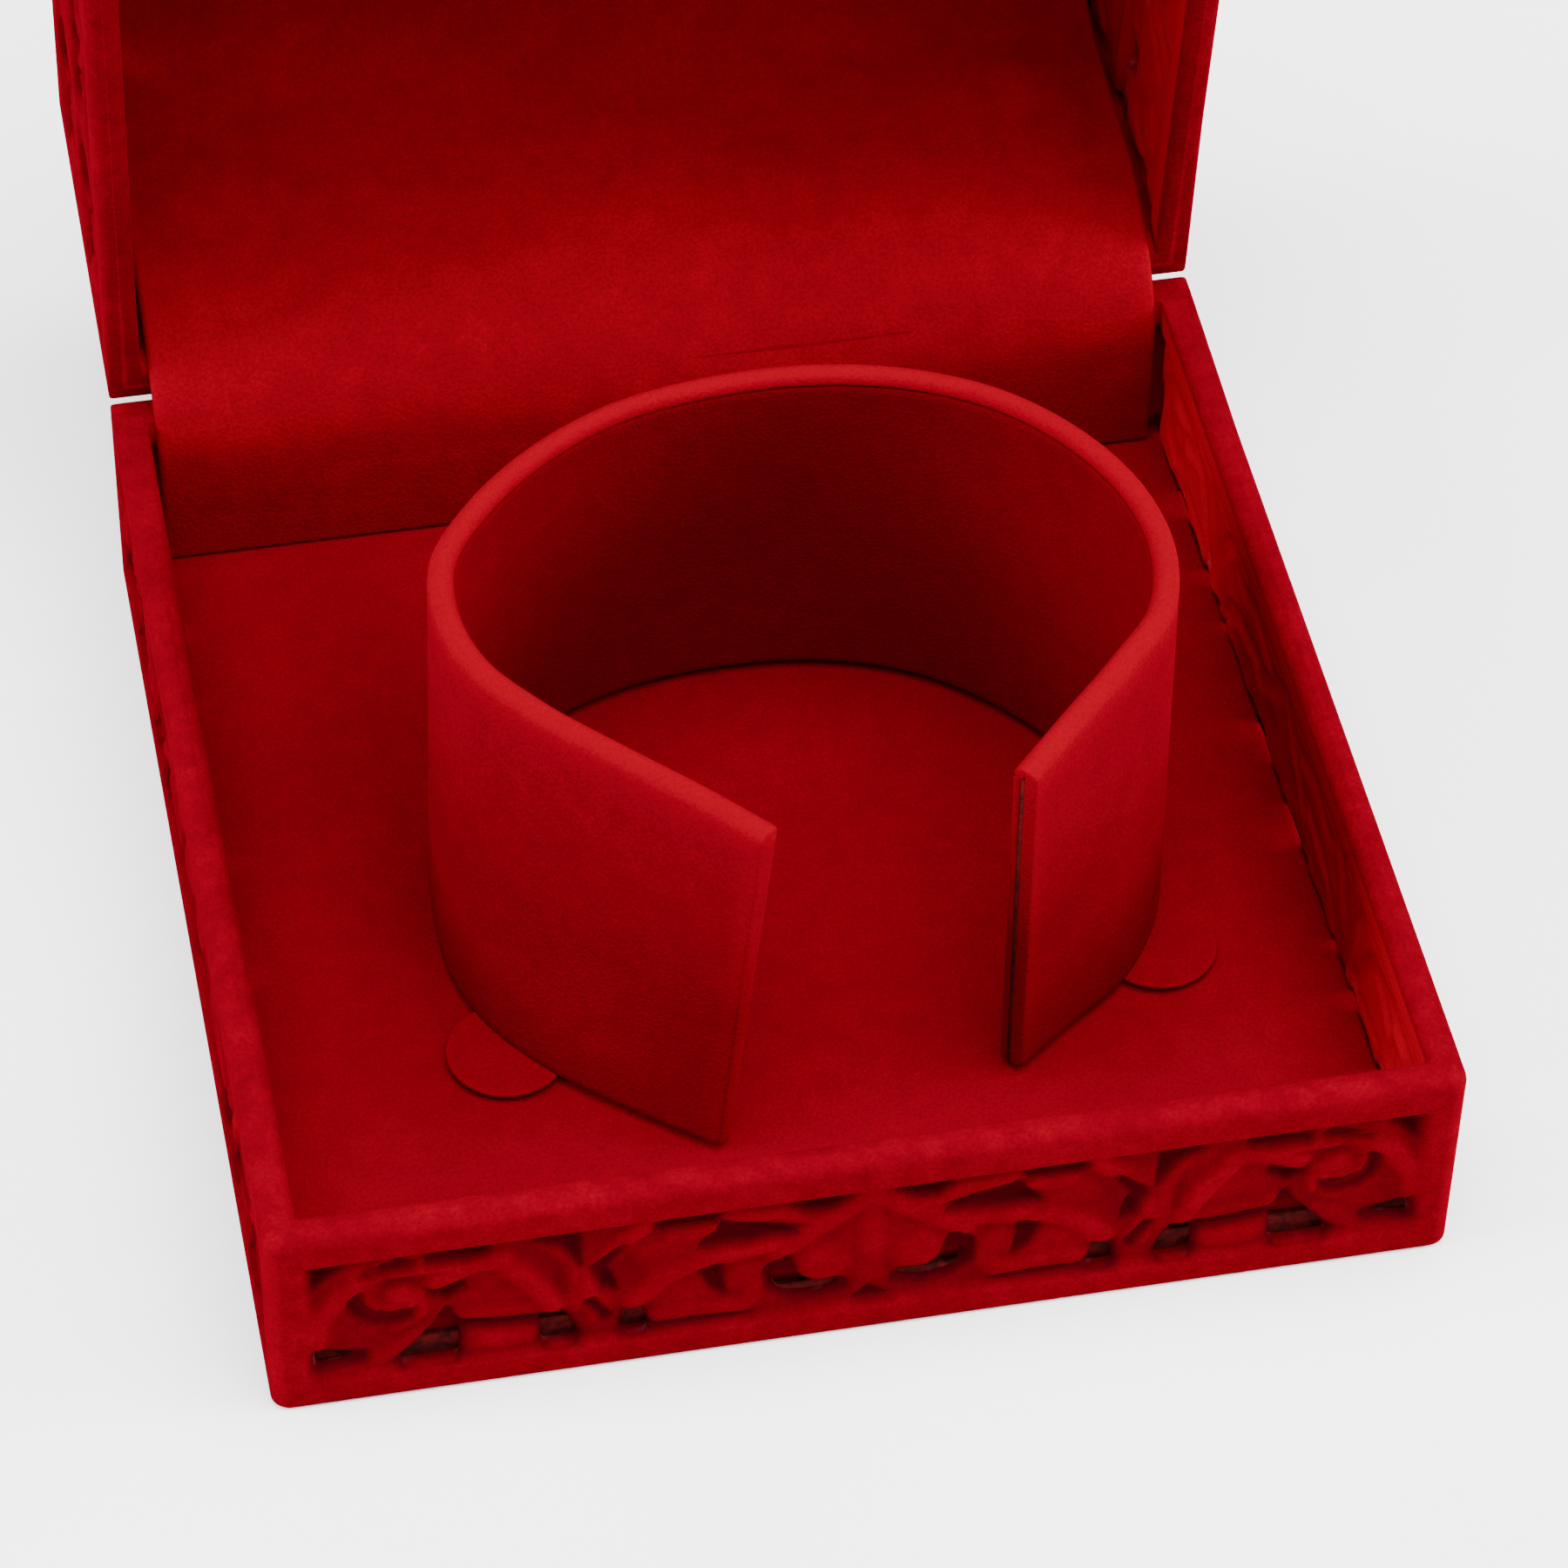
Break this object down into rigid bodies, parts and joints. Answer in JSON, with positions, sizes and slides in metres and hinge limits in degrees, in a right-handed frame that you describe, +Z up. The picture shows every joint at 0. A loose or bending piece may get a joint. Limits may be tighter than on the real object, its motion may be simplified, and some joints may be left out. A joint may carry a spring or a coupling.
{
  "type": "bangle box",
  "caption": "Square flocked openwork box with a hinged deep lid, a velvet floor, a lining sheet and a C-shaped velvet collar that holds one bangle upright.",
  "frame": {"origin": "centre of the tray's underside, on the table", "axes": "+X right seen from the front, +Y from the front towards the hinges, +Z up"},
  "size_m": [0.092, 0.1264, 0.1154],
  "materials": {
    "flocked_moulding": "flocked red, soft matt pile",
    "velvet": "short red velvet pile",
    "lining_velvet": "short red velvet pile on flexible sheet",
    "card": "dark red card, matt",
    "pin_steel": "drawn steel wire"
  },
  "bodies": {
    "base": {"base_floor": "flocked_moulding", "base_front_wall": "flocked_moulding", "base_back_wall": "flocked_moulding", "base_left_wall": "flocked_moulding", "base_right_wall": "flocked_moulding", "hinge_pin_left": "pin_steel", "hinge_pin_right": "pin_steel", "floor_card": "card", "floor_velvet": "velvet", "lining_lower": "lining_velvet", "collar_core": "card", "collar_inner_velvet": "velvet", "collar_outer_velvet": "velvet", "collar_tab_left": "velvet", "collar_tab_right": "velvet"},
    "lid": {"lid_roof": "flocked_moulding", "lid_front_wall": "flocked_moulding", "lid_back_wall": "flocked_moulding", "lid_left_wall": "flocked_moulding", "lid_right_wall": "flocked_moulding", "lid_ceiling_card": "card", "lid_ceiling_velvet": "velvet", "lining_upper": "lining_velvet"}
  },
  "joints": [
    {"name": "lid_hinge", "type": "hinge", "parent": "base", "child": "lid", "pos_m": [0, 0.046, 0.01985], "axis": [1, 0, 0], "range_deg": [0, 83]}
  ]
}
